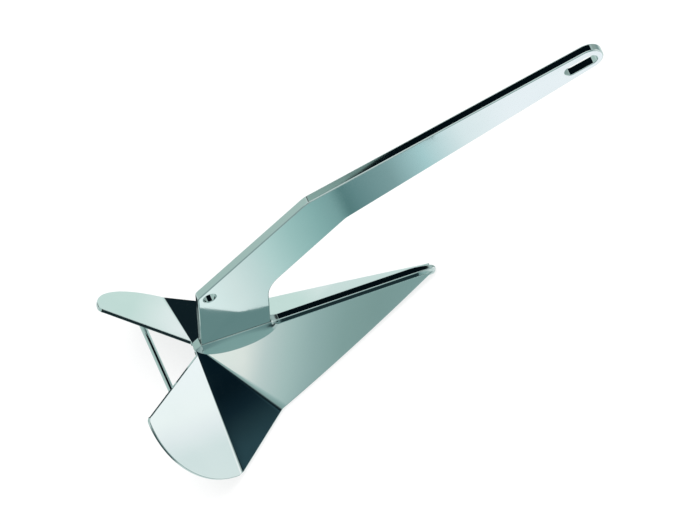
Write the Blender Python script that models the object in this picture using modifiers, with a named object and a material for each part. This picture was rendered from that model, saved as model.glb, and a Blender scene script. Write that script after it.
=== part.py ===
"""Fixed-shank plough anchor, welded up from plate and bar.

Everything is drawn in the fluke's own frame: x runs forward along the top of the ridge from the
back of the shank, y to port, z square to the ridge in the plane of the shank.  An empty then tips
the whole anchor nose down until the nose and the two lower wing corners stand on the floor.
All sizes are in metres.
"""

import math

import bmesh
import bpy
from mathutils import Matrix, Vector

# ---- driving dimensions ------------------------------------------------------------------------
CLEARANCE = 0.0003            # air between neighbouring pieces

RIDGE_LENGTH = 0.420          # back of the shank to the point of the nose

SHANK_THICKNESS = 0.015
SHANK_FOOT_LENGTH = 0.124     # along the ridge
SHANK_BACK_HEIGHT = 0.146     # straight rear edge
SHANK_KNEE_TOP = (0.1995, 0.3255)
SHANK_KNEE_UNDER = (0.267, 0.2415)
SHANK_THROAT_HEIGHT = 0.112   # where the front edge would meet the underside of the lower arm
SHANK_EDGE_RADIUS = 0.0015
HEEL_CORNER_RADIUS = 0.009
KNEE_TOP_RADIUS = 0.045
KNEE_UNDER_RADIUS = 0.028
THROAT_RADIUS = 0.060
RING_CENTRE = (0.706, 0.4715) # centre of the round end
RING_RADIUS = 0.027
SLOT_SETBACK = (-0.0135, -0.0075)  # from the ring end's centre to the slot's
SLOT_CENTRE = (RING_CENTRE[0] + SLOT_SETBACK[0], RING_CENTRE[1] + SLOT_SETBACK[1])
SLOT_LENGTH = 0.061
SLOT_WIDTH = 0.026
SLOT_ANGLE = math.radians(19.5)
EYE_CENTRE = (0.0205, 0.1385)
EYE_DIAMETER = 0.023

BAR_TOP_WIDTH = 0.012
BAR_WIDTH = 0.018
BAR_DEPTH = 0.024
NOSE_LENGTH = 0.048           # the stretch where the ridge bar rounds down and in
NOSE_DROP = 0.008
NOSE_TOP_WIDTH = 0.004
NOSE_WIDTH = 0.015
NOSE_DEPTH = 0.018
NOSE_ROUND = 0.005            # last few millimetres, rounded off blunt

WING_THICKNESS = 0.006
FOLD_APEX_X = -0.0113         # the folds fan out from this point of the ridge line
LOWER_CORNER = (0.1029, 0.1102, -0.1053)    # where the front fold reaches the edge of the wing
REAR_CORNER = (-0.0010, 0.1887, -0.1343)    # where the rear fold reaches the edge of the wing
EAR_BACK_POINT = (-0.1287, 0.1140, 0.0136)  # any point of the ear's rear edge, sets the ear's tilt
EAR_ROOT_Y = 0.0153           # the ear starts this far out along the rear fold
EAR_ARC_OFFSET = 0.062        # the ear's round edge is centred this far along the fold from its root
EAR_CORNER_RADIUS = 0.012
REAR_CORNER_CUT = 0.006       # softens the corner at the end of the rear fold
LEADING_EDGE_BOW = 0.0033
FOLD_SOFTENING = 0.0025

FOOT_WELD_HALF_WIDTH = 0.0222 # widest, beside the foot
FOOT_WELD_NOSE = 0.015        # how far the weld runs on ahead of the shank
FOOT_WELD_TAIL = 0.0125       # and behind it
FOOT_WELD_RISE = 0.0045       # height up the sides of the shank

TIE_BAR_DIAMETER = 0.011
TIE_BAR_X = -0.0734
TIE_BAR_Z = -0.020
TIE_BAR_WELD_REACH = 0.0045

RIDGE_WELD_REACH = 0.0065
RIDGE_WELD_START = 0.008
RIDGE_WELD_END = 0.362

BALLAST_BACK = 0.240          # rear face of the ballast, along the ridge
BALLAST_FRONT = 0.338
COVER_FRONT = 0.350
COVER_THICKNESS = 0.004
COVER_INSET = 0.007           # the cover lies this far above the plane of the wing edges
END_PLATE_THICKNESS = 0.004
COVER_WELD_REACH = 0.005

STEEL = ("mirror_stainless", (0.62, 0.68, 0.67, 1.0), 0.08, 1.0)
WELD = ("dressed_weld", (0.52, 0.58, 0.57, 1.0), 0.16, 1.0)
SATIN = ("satin_stainless", (0.45, 0.48, 0.48, 1.0), 0.34, 1.0)
BALLAST = ("ballast_casting", (0.12, 0.12, 0.13, 1.0), 0.7, 0.6)

# ---- values that follow from them --------------------------------------------------------------
BAR_HALF = BAR_WIDTH / 2
SHANK_HALF = SHANK_THICKNESS / 2
APEX = Vector((FOLD_APEX_X, 0, 0))
F1 = Vector(LOWER_CORNER)
F2 = Vector(REAR_CORNER)
WING_DROP = -F1.z / F1.y                          # fall of the front facet per metre outboard
PLATE_DEPTH = WING_THICKNESS * math.hypot(1, WING_DROP)  # the same plate measured straight down
EAR_ROOT = APEX.lerp(F2, EAR_ROOT_Y / F2.y)
SEAM_Y = BAR_HALF + CLEARANCE                     # inner edge of each wing
NOSE_START = RIDGE_LENGTH - NOSE_LENGTH
LEADING_TIP_X = RIDGE_LENGTH - 0.008              # where the wing edge runs out beside the nose


# ---- helpers -----------------------------------------------------------------------------------
def clear_scene():
    for old in list(bpy.data.objects):
        bpy.data.objects.remove(old, do_unlink=True)


def collection(name):
    made = bpy.data.collections.new(name)
    bpy.context.scene.collection.children.link(made)
    return made


def material(spec):
    name, colour, roughness, metallic = spec
    made = bpy.data.materials.new(name)
    made.use_nodes = True
    shader = made.node_tree.nodes["Principled BSDF"]
    shader.inputs["Base Color"].default_value = colour
    shader.inputs["Roughness"].default_value = roughness
    shader.inputs["Metallic"].default_value = metallic
    made.diffuse_color = colour
    return made


def mesh_object(name, verts, faces, home):
    """An object from points and faces, its faces turned outwards."""
    mesh = bpy.data.meshes.new(name)
    mesh.from_pydata([tuple(v) for v in verts], [], faces)
    shape = bmesh.new()
    shape.from_mesh(mesh)
    bmesh.ops.recalc_face_normals(shape, faces=shape.faces)
    shape.to_mesh(mesh)
    shape.free()
    made = bpy.data.objects.new(name, mesh)
    home.objects.link(made)
    return made


def loft(name, sections, home):
    """A closed solid through sections of equal point count, with flat ends."""
    count = len(sections[0])
    verts = [p for section in sections for p in section]
    faces = [tuple(range(count)), tuple(range(len(verts) - count, len(verts)))]
    for row in range(len(sections) - 1):
        for i in range(count):
            j = (i + 1) % count
            low, high = row * count, (row + 1) * count
            faces.append((low + i, low + j, high + j, high + i))
    return mesh_object(name, verts, faces, home)


def prism_along_x(name, stations, home):
    """A loft whose sections are (x, [(y, z), ...])."""
    return loft(name, [[(x, y, z) for y, z in outline] for x, outline in stations], home)


def mirrored_outline(half):
    """A section given from its top middle round the port side to its bottom middle, closed."""
    return half + [(-y, z) for y, z in reversed(half) if y > 0]


def cutter(made):
    made.hide_render = True
    made.display_type = "WIRE"
    return made


def cut(target, tool):
    """Cuts the tool's volume out of the target, safely where lofted faces aren't quite flat."""
    step = target.modifiers.new(f"cut_{tool.name}", "BOOLEAN")
    step.operation = "DIFFERENCE"
    step.solver = "EXACT"
    step.use_self = True
    step.object = tool


def bevel(target, width, segments, angle):
    step = target.modifiers.new("softened_edges", "BEVEL")
    step.width = width
    step.segments = segments
    step.limit_method = "ANGLE"
    step.angle_limit = math.radians(angle)
    return step


def arc(centre, radius, start, stop, steps):
    """Points of a circular arc in a plane, both ends included."""
    turn = [start + (stop - start) * i / steps for i in range(steps + 1)]
    return [(centre[0] + radius * math.cos(a), centre[1] + radius * math.sin(a)) for a in turn]


def rounded_corner(before, corner, after, radius, steps):
    """The arc that replaces a corner of a flat outline."""
    here = Vector(corner)
    back = (Vector(before) - here).normalized()
    on = (Vector(after) - here).normalized()
    half = back.angle(on) / 2
    centre = here + (back + on).normalized() * (radius / math.sin(half))
    first = here + back * (radius / math.tan(half)) - centre
    last = here + on * (radius / math.tan(half)) - centre
    start = math.atan2(first.y, first.x)
    sweep = (math.atan2(last.y, last.x) - start + math.pi) % (2 * math.pi) - math.pi
    return arc(centre, radius, start, start + sweep, steps)


def tangent_angle(point, centre, radius, side):
    """The direction from a circle's centre to where a line from the point touches it."""
    reach = Vector(point) - Vector(centre)
    return math.atan2(reach.y, reach.x) + side * math.acos(radius / reach.length)


def flat_plate(name, outline, thickness, home):
    """A plate cut to an outline in the plane of the shank, centred on y = 0."""
    curve = bpy.data.curves.new(name, "CURVE")
    curve.dimensions = "2D"
    curve.fill_mode = "BOTH"
    curve.extrude = thickness / 2
    spline = curve.splines.new("POLY")
    spline.points.add(len(outline) - 1)
    for point, (x, z) in zip(spline.points, outline):
        point.co = (x, z, 0, 1)
    spline.use_cyclic_u = True
    drawn = bpy.data.objects.new(name + "_outline", curve)
    home.objects.link(drawn)
    bpy.context.view_layer.update()
    mesh = bpy.data.meshes.new_from_object(drawn.evaluated_get(bpy.context.evaluated_depsgraph_get()))
    bpy.data.objects.remove(drawn, do_unlink=True)
    mesh.transform(Matrix.Rotation(math.pi / 2, 4, "X"))
    shape = bmesh.new()
    shape.from_mesh(mesh)
    bmesh.ops.remove_doubles(shape, verts=shape.verts, dist=1e-6)
    bmesh.ops.dissolve_limit(shape, angle_limit=math.radians(1), verts=shape.verts, edges=shape.edges)
    bmesh.ops.recalc_face_normals(shape, faces=shape.faces)
    shape.to_mesh(mesh)
    shape.free()
    mesh.name = name
    made = bpy.data.objects.new(name, mesh)
    home.objects.link(made)
    return made


# ---- shank -------------------------------------------------------------------------------------
def shank_outline():
    foot_back = (0, CLEARANCE)
    foot_front = (SHANK_FOOT_LENGTH, CLEARANCE)
    heel = (0, SHANK_BACK_HEIGHT)
    throat = (SHANK_FOOT_LENGTH, SHANK_THROAT_HEIGHT)
    upper = tangent_angle(SHANK_KNEE_TOP, RING_CENTRE, RING_RADIUS, -1)
    lower = tangent_angle(SHANK_KNEE_UNDER, RING_CENTRE, RING_RADIUS, 1)
    sweep = (upper - lower) % (2 * math.pi)
    ring = arc(RING_CENTRE, RING_RADIUS, upper, upper - sweep, 18)
    points = [foot_back]
    points += rounded_corner(foot_back, heel, SHANK_KNEE_TOP, HEEL_CORNER_RADIUS, 4)
    points += rounded_corner(heel, SHANK_KNEE_TOP, ring[0], KNEE_TOP_RADIUS, 5)
    points += ring
    points += rounded_corner(ring[-1], SHANK_KNEE_UNDER, throat, KNEE_UNDER_RADIUS, 5)
    points += rounded_corner(SHANK_KNEE_UNDER, throat, foot_front, THROAT_RADIUS, 8)
    points.append(foot_front)
    return points


def slot_outline():
    along = Vector((math.cos(SLOT_ANGLE), math.sin(SLOT_ANGLE)))
    radius = SLOT_WIDTH / 2
    reach = SLOT_LENGTH / 2 - radius
    outer = Vector(SLOT_CENTRE) + along * reach
    inner = Vector(SLOT_CENTRE) - along * reach
    quarter = math.pi / 2
    points = arc(outer, radius, SLOT_ANGLE - quarter, SLOT_ANGLE + quarter, 12)
    points += arc(inner, radius, SLOT_ANGLE + quarter, SLOT_ANGLE + 3 * quarter, 12)
    return points


def make_shank(parts, tools):
    made = flat_plate("shank", shank_outline(), SHANK_THICKNESS, parts)
    slot = flat_plate("shackle_slot_cutter", slot_outline(), SHANK_THICKNESS * 3, tools)
    hole = arc(EYE_CENTRE, EYE_DIAMETER / 2, 0, 2 * math.pi * 23 / 24, 23)
    eye = flat_plate("trip_eye_cutter", hole, SHANK_THICKNESS * 3, tools)
    cut(made, cutter(slot))
    cut(made, cutter(eye))
    bevel(made, SHANK_EDGE_RADIUS, 2, 50)
    return made


# ---- ridge bar ---------------------------------------------------------------------------------
def bar_section(x):
    """Half outline of the ridge bar at x, from top middle to bottom middle."""
    along = max(0.0, (x - NOSE_START) / NOSE_LENGTH) ** 2
    top = (BAR_TOP_WIDTH + (NOSE_TOP_WIDTH - BAR_TOP_WIDTH) * along) / 2
    side = (BAR_WIDTH + (NOSE_WIDTH - BAR_WIDTH) * along) / 2
    drop = NOSE_DROP * along
    shoulder = WING_DROP * BAR_HALF + drop * 0.6
    depth = BAR_DEPTH + (NOSE_DEPTH - BAR_DEPTH) * min(1.0, along * 2)
    return [(0, -drop), (top, -drop), (side, -shoulder), (side, -depth), (0, -depth)]


def make_ridge_bar(parts):
    nose = [NOSE_START + (NOSE_LENGTH - NOSE_ROUND) * i / 5 for i in range(6)]
    stations = [(x, mirrored_outline(bar_section(x))) for x in [0.0] + nose]
    blunt = bar_section(RIDGE_LENGTH - NOSE_ROUND)
    middle = (blunt[0][1] + blunt[-1][1]) / 2
    for forward, share in ((0.6, 0.86), (1.0, 0.62)):
        shrunk = [(y * share, middle + (z - middle) * share) for y, z in blunt]
        stations.append((RIDGE_LENGTH - NOSE_ROUND * (1 - forward), mirrored_outline(shrunk)))
    return prism_along_x("ridge_bar", stations, parts)



# ---- fluke wings -------------------------------------------------------------------------------
def leading_edge():
    """The wing's front edge from the lower corner to the nose, a shallow outward bow."""
    start = F1
    end = Vector((LEADING_TIP_X, SEAM_Y, -WING_DROP * SEAM_Y))
    out = Vector((0, 1, -WING_DROP)).normalized()
    steps = 10
    return [start.lerp(end, i / steps) + out * (4 * LEADING_EDGE_BOW * i / steps * (1 - i / steps))
            for i in range(1, steps + 1)]


def ear_frame():
    """Directions in the plane of the ear: along the fold, across it towards the back, and up."""
    along = (F2 - EAR_ROOT).normalized()
    up = along.cross(Vector(EAR_BACK_POINT) - EAR_ROOT).normalized()
    return along, up.cross(along), up


def ear_edge():
    """The ear's free edge from the rear fold's end, round its arc, to its root."""
    along, across, _ = ear_frame()
    radius = (F2 - EAR_ROOT).length - EAR_ARC_OFFSET
    reach = Vector(EAR_BACK_POINT) - EAR_ROOT
    slope = math.atan2(reach.dot(across), reach.dot(along))
    # where the straight rear edge meets the circle of the round edge
    span = EAR_ARC_OFFSET * math.cos(slope)
    length = span + math.sqrt(span**2 + radius**2 - EAR_ARC_OFFSET**2)
    corner = (length * math.cos(slope), length * math.sin(slope))
    end = math.atan2(corner[1], corner[0] - EAR_ARC_OFFSET)
    setback = EAR_CORNER_RADIUS / radius
    start = REAR_CORNER_CUT / radius
    flat = arc((EAR_ARC_OFFSET, 0), radius, start, end - setback, 16)
    flat += rounded_corner(flat[-1], corner, (0, 0), EAR_CORNER_RADIUS * 0.72, 5)
    return [EAR_ROOT + along * a + across * b for a, b in flat]


def wing_surface(name, side, home):
    """The three flat facets of a wing's upper surface, as an open sheet."""
    softened = F2 + (APEX - F2).normalized() * (REAR_CORNER_CUT * 0.18)
    outer = F2.lerp(F1, REAR_CORNER_CUT / (F1 - F2).length)
    front_edge = leading_edge()
    inner_tip = Vector((LEADING_TIP_X, 0, 0))
    ear = ear_edge()
    points = [APEX, F1, outer, softened, EAR_ROOT, inner_tip] + front_edge + ear
    first_front = 6
    first_ear = first_front + len(front_edge)
    front = [0, 5] + [first_front + i for i in reversed(range(len(front_edge)))] + [1]
    middle = [0, 1, 2, 3, 4]
    back = [4, 3] + [first_ear + i for i in range(len(ear))]
    placed = [(p.x, side * p.y, p.z) for p in points]
    mesh = bpy.data.meshes.new(name)
    mesh.from_pydata(placed, [], [front, middle, back])
    shape = bmesh.new()
    shape.from_mesh(mesh)
    bmesh.ops.recalc_face_normals(shape, faces=shape.faces)
    if sum(face.normal.z for face in shape.faces) < 0:
        bmesh.ops.reverse_faces(shape, faces=shape.faces)
    shape.to_mesh(mesh)
    shape.free()
    made = bpy.data.objects.new(name, mesh)
    home.objects.link(made)
    return made


def thicken(sheet, thickness):
    """Gives the sheet its thickness below the upper surface."""
    step = sheet.modifiers.new("plate_thickness", "SOLIDIFY")
    step.thickness = thickness
    step.offset = -1
    step.use_even_offset = True
    step.use_quality_normals = True


def seam_slab(tools):
    """The gap that the ridge bar fills between the two wings."""
    height = RIDGE_LENGTH
    box = [(-SEAM_Y, -height), (SEAM_Y, -height), (SEAM_Y, height), (-SEAM_Y, height)]
    return cutter(prism_along_x("seam_slab", [(-RIDGE_LENGTH, box), (RIDGE_LENGTH * 1.2, box)], tools))


def make_wing(name, side, slab, parts):
    made = wing_surface(name, side, parts)
    bevel(made, FOLD_SOFTENING, 2, 5)
    thicken(made, WING_THICKNESS)
    cut(made, slab)
    return made


# ---- welds round the foot of the shank ---------------------------------------------------------
def wing_top(x, y):
    """Height of a wing's upper surface near the ridge: the higher of the front and middle facets."""
    across = (F1 - APEX).cross(F2 - APEX)
    middle = -(across.x * (x - APEX.x) + across.y * y) / across.z
    return max(-WING_DROP * y, middle)


def foot_weld_reach(x):
    """Half width and crown of the dressed weld at x: full beside the foot, rounded in at both ends."""
    middle = SHANK_FOOT_LENGTH / 2
    if x < middle:
        share = (middle - x) / (middle + FOOT_WELD_TAIL)
        narrow = 0.62
    else:
        share = (x - middle) / (middle + FOOT_WELD_NOSE)
        narrow = 0.47
    half = FOOT_WELD_HALF_WIDTH * (narrow + (1 - narrow) * math.sqrt(max(0.0, 1 - share**3)))
    beyond = max(0.0, -x / FOOT_WELD_TAIL, (x - SHANK_FOOT_LENGTH) / FOOT_WELD_NOSE)
    if x < middle:
        fall, crown_end = 0.012, SHANK_HALF * 0.55
    else:
        fall, crown_end = 0.003, max(SHANK_HALF * 0.55, BAR_TOP_WIDTH / 2 + 3 * CLEARANCE)
        half = max(half, SEAM_Y + 4 * CLEARANCE)
    crown = SHANK_HALF + (crown_end - SHANK_HALF) * min(beyond, 1.0)
    return half, FOOT_WELD_RISE - fall * beyond**1.5, crown


def side_weld_section(x, side):
    half, top, _ = foot_weld_reach(x)
    inner = SHANK_HALF + CLEARANCE
    lift = CLEARANCE * math.hypot(1, WING_DROP)
    flank = inner - BAR_TOP_WIDTH / 2
    slope = WING_DROP * BAR_HALF / (BAR_HALF - BAR_TOP_WIDTH / 2)
    outline = [
        (inner, top),
        (half, wing_top(x, half) + lift),
        (SEAM_Y, wing_top(x, SEAM_Y) + lift),
        (inner, lift * 2 - slope * flank),
    ]
    return x, [(side * y, z) for y, z in outline]


def make_side_weld(name, side, parts):
    stations = [side_weld_section(SHANK_FOOT_LENGTH * i / 12, side) for i in range(13)]
    return prism_along_x(name, stations, parts)


def make_front_weld(parts):
    lift = CLEARANCE * math.hypot(1, WING_DROP)
    stations = []
    for i in range(7):
        x = SHANK_FOOT_LENGTH + CLEARANCE + (FOOT_WELD_NOSE - CLEARANCE) * i / 6
        half, top, crown = foot_weld_reach(x)
        half_outline = [
            (0, top),
            (crown, top),
            (half, wing_top(x, half) + lift),
            (SEAM_Y, wing_top(x, SEAM_Y) + lift),
            (BAR_TOP_WIDTH / 2 + CLEARANCE, CLEARANCE),
            (0, CLEARANCE),
        ]
        stations.append((x, mirrored_outline(half_outline)))
    return prism_along_x("shank_weld_front", stations, parts)


def make_rear_weld(parts):
    lift = 2 * CLEARANCE * math.hypot(1, WING_DROP)
    stations = []
    for i in range(7):
        x = -CLEARANCE - (FOOT_WELD_TAIL - CLEARANCE) * i / 6
        half, top, crown = foot_weld_reach(x)
        half_outline = [
            (0, top),
            (crown, top),
            (half, wing_top(x, half) + lift),
            (BAR_HALF, wing_top(x, BAR_HALF) + lift),
            (BAR_HALF, -BAR_DEPTH),
            (0, -BAR_DEPTH),
        ]
        stations.append((x, mirrored_outline(half_outline)))
    return prism_along_x("shank_weld_rear", stations, parts)


# ---- tie bar and its welds ---------------------------------------------------------------------
def round_bar(name, radius_start, radius_end, y_start, y_end, home):
    """A round bar or cone along y at the tie bar's place."""
    steps = 24
    sections = []
    for y, radius in ((y_start, radius_start), (y_end, radius_end)):
        ring = arc((TIE_BAR_X, TIE_BAR_Z), radius, 0, 2 * math.pi * (steps - 1) / steps, steps - 1)
        sections.append([(x, y, z) for x, z in ring])
    return loft(name, sections, home)


def under_ear_depth(side, gap):
    """A point on the underside of an ear and the way up from it, moved down by a gap."""
    _, _, up = ear_frame()
    point = EAR_ROOT - up * (WING_THICKNESS + gap)
    return Vector((point.x, side * point.y, point.z)), Vector((up.x, side * up.y, up.z))


def tie_bar_end():
    """Half length of the tie bar along its axis, where it meets the undersides of the ears."""
    point, up = under_ear_depth(1, CLEARANCE)
    return point.y - (up.x * (TIE_BAR_X - point.x) + up.z * (TIE_BAR_Z - point.z)) / up.y


def above_ear_cutter(side, tools):
    """A thick slab that holds everything above the underside of an ear."""
    point, up = under_ear_depth(side, CLEARANCE)
    size = RIDGE_LENGTH
    made = mesh_object(f"above_ear_{'port' if side > 0 else 'starboard'}", *unit_box(size), tools)
    turn = up.to_track_quat("Z", "Y").to_matrix().to_4x4()
    made.data.transform(Matrix.Translation(point + up * size / 2) @ turn)
    return cutter(made)


def unit_box(size):
    half = size / 2
    verts = [(x, y, z) for x in (-half, half) for y in (-half, half) for z in (-half, half)]
    faces = [(0, 1, 3, 2), (4, 6, 7, 5), (0, 4, 5, 1), (2, 3, 7, 6), (0, 2, 6, 4), (1, 5, 7, 3)]
    return verts, faces


def make_tie_bar(ends, parts):
    radius = TIE_BAR_DIAMETER / 2
    reach = tie_bar_end() + TIE_BAR_DIAMETER * 2
    made = round_bar("tie_bar", radius, radius, -reach, reach, parts)
    for end in ends:
        cut(made, end)
    return made


def make_tie_bar_weld(name, side, end, parts, tools):
    radius = TIE_BAR_DIAMETER / 2
    foot = tie_bar_end()
    start = foot - TIE_BAR_DIAMETER * 1.35
    finish = foot + TIE_BAR_DIAMETER * 1.2
    slope = TIE_BAR_WELD_REACH / (foot - start)
    wide = radius + slope * (finish - start)
    made = round_bar(name, radius + 0.0012, wide + 0.0012, side * start, side * finish, parts)
    bore = radius + CLEARANCE
    hole = round_bar(name + "_bore", bore, bore, side * (start - 0.01), side * (finish + 0.01), tools)
    cut(made, cutter(hole))
    cut(made, end)
    return made


# ---- seams and ballast under the fluke ---------------------------------------------------------
def underside(y):
    """Height of a wing's underside, out at y, on the front facet."""
    return -WING_DROP * y - PLATE_DEPTH


def make_ridge_weld(name, side, parts):
    gap = CLEARANCE * 1.5
    root = SEAM_Y
    toe = SEAM_Y + RIDGE_WELD_REACH
    outline = [
        (side * root, underside(root) - gap),
        (side * root, -BAR_DEPTH),
        (side * toe, underside(toe) - gap),
    ]
    return prism_along_x(name, [(RIDGE_WELD_START, outline), (RIDGE_WELD_END, outline)], parts)


def wing_edge_plane(x):
    """Height, at x, of the plane through the lower edges of the two wings."""
    front = Vector((LEADING_TIP_X, underside(SEAM_Y)))
    back = Vector((F1.x, underside(F1.y)))
    return front.y + (x - front.x) * (front.y - back.y) / (front.x - back.x)


def cover_bottom(x):
    return wing_edge_plane(x) + COVER_INSET


def reach_at(z):
    """How far out a level z can run before it meets the underside of a wing."""
    return -(z + PLATE_DEPTH) / WING_DROP - CLEARANCE * 1.5


def packing_top():
    """Highest level that clears both the ridge bar and the toes of the seams beside it."""
    weld_toe = underside(SEAM_Y + RIDGE_WELD_REACH) - CLEARANCE * 1.5
    return min(-BAR_DEPTH, weld_toe) - CLEARANCE * 2


def trapezium(x, top, bottom):
    """A section under the ridge between two levels, filling the V of the wings."""
    half = [(0, top), (reach_at(top), top), (reach_at(bottom), bottom), (0, bottom)]
    return x, mirrored_outline(half)


def make_ballast(parts):
    top = packing_top()
    roof = COVER_THICKNESS + CLEARANCE
    ends = (BALLAST_BACK + CLEARANCE, BALLAST_FRONT)
    return prism_along_x("nose_ballast", [trapezium(x, top, cover_bottom(x) + roof) for x in ends], parts)


def make_cover(parts):
    ends = (BALLAST_BACK - END_PLATE_THICKNESS, COVER_FRONT)
    sections = [trapezium(x, cover_bottom(x) + COVER_THICKNESS, cover_bottom(x)) for x in ends]
    return prism_along_x("ballast_cover", sections, parts)


def make_end_plate(parts):
    top = packing_top()
    ends = (BALLAST_BACK - END_PLATE_THICKNESS, BALLAST_BACK)
    roof = COVER_THICKNESS + CLEARANCE
    sections = [trapezium(x, top, cover_bottom(x) + roof) for x in ends]
    return prism_along_x("ballast_end_plate", sections, parts)


def make_cover_weld(name, side, parts):
    stations = []
    for x in (BALLAST_BACK - END_PLATE_THICKNESS, COVER_FRONT):
        level = cover_bottom(x) - CLEARANCE
        corner = reach_at(level)
        toe = corner + COVER_WELD_REACH * 0.7
        toe_level = underside(toe) - CLEARANCE * 1.5
        stations.append((x, [
            (side * (corner - COVER_WELD_REACH), level),
            (side * corner, level),
            (side * toe, toe_level),
        ]))
    return prism_along_x(name, stations, parts)


# ---- standing pose -----------------------------------------------------------------------------
def points_of(objects):
    depsgraph = bpy.context.evaluated_depsgraph_get()
    found = []
    for part in objects:
        shown = part.evaluated_get(depsgraph)
        mesh = shown.to_mesh()
        found += [part.matrix_world @ v.co for v in mesh.vertices]
        shown.to_mesh_clear()
    return found


def rest_slope(points):
    """The tilt at which the nose and the lower wing corners are equally low."""
    middle = RIDGE_LENGTH * 0.7
    front = [p for p in points if p.x > middle]
    back = [p for p in points if p.x <= middle]
    low, high = math.radians(2), math.radians(40)
    for _ in range(60):
        tilt = (low + high) / 2
        level = [min(p.z * math.cos(tilt) - p.x * math.sin(tilt) for p in side) for side in (front, back)]
        if level[0] > level[1]:
            low = tilt
        else:
            high = tilt
    return tilt


def stand_up(objects, tools, home):
    """Parents parts and cutters to an empty that tips them onto the floor, centred on the origin."""
    points = points_of(objects)
    tilt = rest_slope(points)
    turn = Matrix.Rotation(tilt, 4, "Y")
    turned = [turn @ p for p in points]
    low = [min(p[i] for p in turned) for i in range(3)]
    high = [max(p[i] for p in turned) for i in range(3)]
    stand = bpy.data.objects.new("standing_pose", None)
    home.objects.link(stand)
    stand.rotation_euler = (0, tilt, 0)
    stand.location = (-(low[0] + high[0]) / 2, 0, -low[2])
    for part in objects + list(tools.objects):
        part.parent = stand
    bpy.context.view_layer.update()
    size = [round((b - a) * 1000, 1) for a, b in zip(low, high)]
    place = [round(c, 5) for c in stand.location]
    print("standing tilt", round(math.degrees(tilt), 3), "deg, place", place, "size mm", size)


def main():
    clear_scene()
    parts = collection("plough_anchor")
    tools = collection("cutters")
    steel, weld, satin, heavy = (material(spec) for spec in (STEEL, WELD, SATIN, BALLAST))
    slab = seam_slab(tools)
    made = []

    def keep(part, finish):
        part.data.materials.clear()
        part.data.materials.append(finish)
        made.append(part)

    keep(make_shank(parts, tools), steel)
    keep(make_ridge_bar(parts), steel)
    keep(make_front_weld(parts), weld)
    keep(make_rear_weld(parts), weld)
    ends = {side: above_ear_cutter(side, tools) for side in (1, -1)}
    keep(make_tie_bar(ends.values(), parts), steel)
    for name, side in (("port", 1), ("starboard", -1)):
        keep(make_wing(f"fluke_wing_{name}", side, slab, parts), steel)
        keep(make_side_weld(f"shank_weld_{name}", side, parts), weld)
        keep(make_ridge_weld(f"ridge_weld_{name}", side, parts), weld)
        keep(make_tie_bar_weld(f"tie_bar_weld_{name}", side, ends[side], parts, tools), weld)
        keep(make_cover_weld(f"cover_weld_{name}", side, parts), weld)
    keep(make_ballast(parts), heavy)
    keep(make_cover(parts), satin)
    keep(make_end_plate(parts), satin)
    bpy.context.view_layer.update()
    stand_up(made, tools, parts)


main()
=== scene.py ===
# %% [markdown]
# A polished plough anchor. The real thing is cut from stainless plate, folded, welded and then
# buffed until it is a mirror. A mirror shows every flaw in a mesh, so the pieces that are seen
# are computed here as smooth surfaces with their exact normals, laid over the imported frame.

# %% Load the frame
import math

import bpy
import numpy as np
from mathutils import Matrix, Vector
from mathutils.geometry import tessellate_polygon


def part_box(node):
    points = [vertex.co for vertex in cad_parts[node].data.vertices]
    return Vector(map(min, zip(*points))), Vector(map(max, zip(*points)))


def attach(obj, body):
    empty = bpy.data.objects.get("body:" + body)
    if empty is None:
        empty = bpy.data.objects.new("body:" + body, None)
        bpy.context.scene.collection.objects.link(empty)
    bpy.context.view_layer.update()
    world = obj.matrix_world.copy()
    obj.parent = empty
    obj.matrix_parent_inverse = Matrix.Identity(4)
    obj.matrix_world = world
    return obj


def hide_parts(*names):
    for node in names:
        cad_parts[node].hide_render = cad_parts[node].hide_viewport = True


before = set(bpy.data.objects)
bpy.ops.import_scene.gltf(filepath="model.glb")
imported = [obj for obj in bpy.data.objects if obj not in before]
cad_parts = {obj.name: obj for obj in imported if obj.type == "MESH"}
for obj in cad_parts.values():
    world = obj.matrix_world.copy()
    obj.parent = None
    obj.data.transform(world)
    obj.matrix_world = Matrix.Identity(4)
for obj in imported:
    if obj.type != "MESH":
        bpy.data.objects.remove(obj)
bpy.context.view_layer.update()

print("packed nodes:", len(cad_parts))

# %% [markdown]
# Every size below is measured in the anchor's own frame: x runs forward along the top of the
# ridge from the back of the shank, y to port, z square to the ridge. The anchor stands on its
# nose and the two lower wing corners, so its frame is tipped forward by a fixed slope.

# %% Named sizes, in metres
MM = 0.001
GAP = 0.3 * MM
STAND_SLOPE = math.radians(16.417)

RIDGE_LENGTH = 0.420
SHANK_HALF = 0.0075
FOOT_LENGTH = 0.124
BACK_HEIGHT = 0.146
KNEE_TOP = np.array([0.1995, 0.3255])
KNEE_UNDER = np.array([0.267, 0.2415])
THROAT_HEIGHT = 0.112
RING_CENTRE = np.array([0.706, 0.4715])
RING_RADIUS = 0.027
SLOT_CENTRE = np.array([0.6925, 0.4640])
SLOT_LENGTH, SLOT_WIDTH, SLOT_ANGLE = 0.061, 0.026, math.radians(19.5)
EYE_CENTRE = np.array([0.0205, 0.1385])
EYE_RADIUS = 0.0115

BAR_TOP_HALF, BAR_HALF, BAR_DEPTH = 0.006, 0.009, 0.024
NOSE_LENGTH, NOSE_DROP = 0.048, 0.008
NOSE_TOP_HALF, NOSE_HALF, NOSE_DEPTH = 0.002, 0.0075, 0.018

PLATE = 0.006
APEX = np.array([-0.0113, 0.0, 0.0])
LOWER_CORNER = np.array([0.1029, 0.1102, -0.1053])
REAR_CORNER = np.array([-0.0010, 0.1887, -0.1343])
EAR_BACK = np.array([-0.1287, 0.1140, 0.0136])
EAR_ROOT_Y, EAR_ARC_OFFSET = 0.0153, 0.062
WING_DROP = -LOWER_CORNER[2] / LOWER_CORNER[1]
SEAM_Y = BAR_HALF + GAP
LEADING_TIP_X = RIDGE_LENGTH - 0.008
LEADING_BOW = 0.0033

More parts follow.
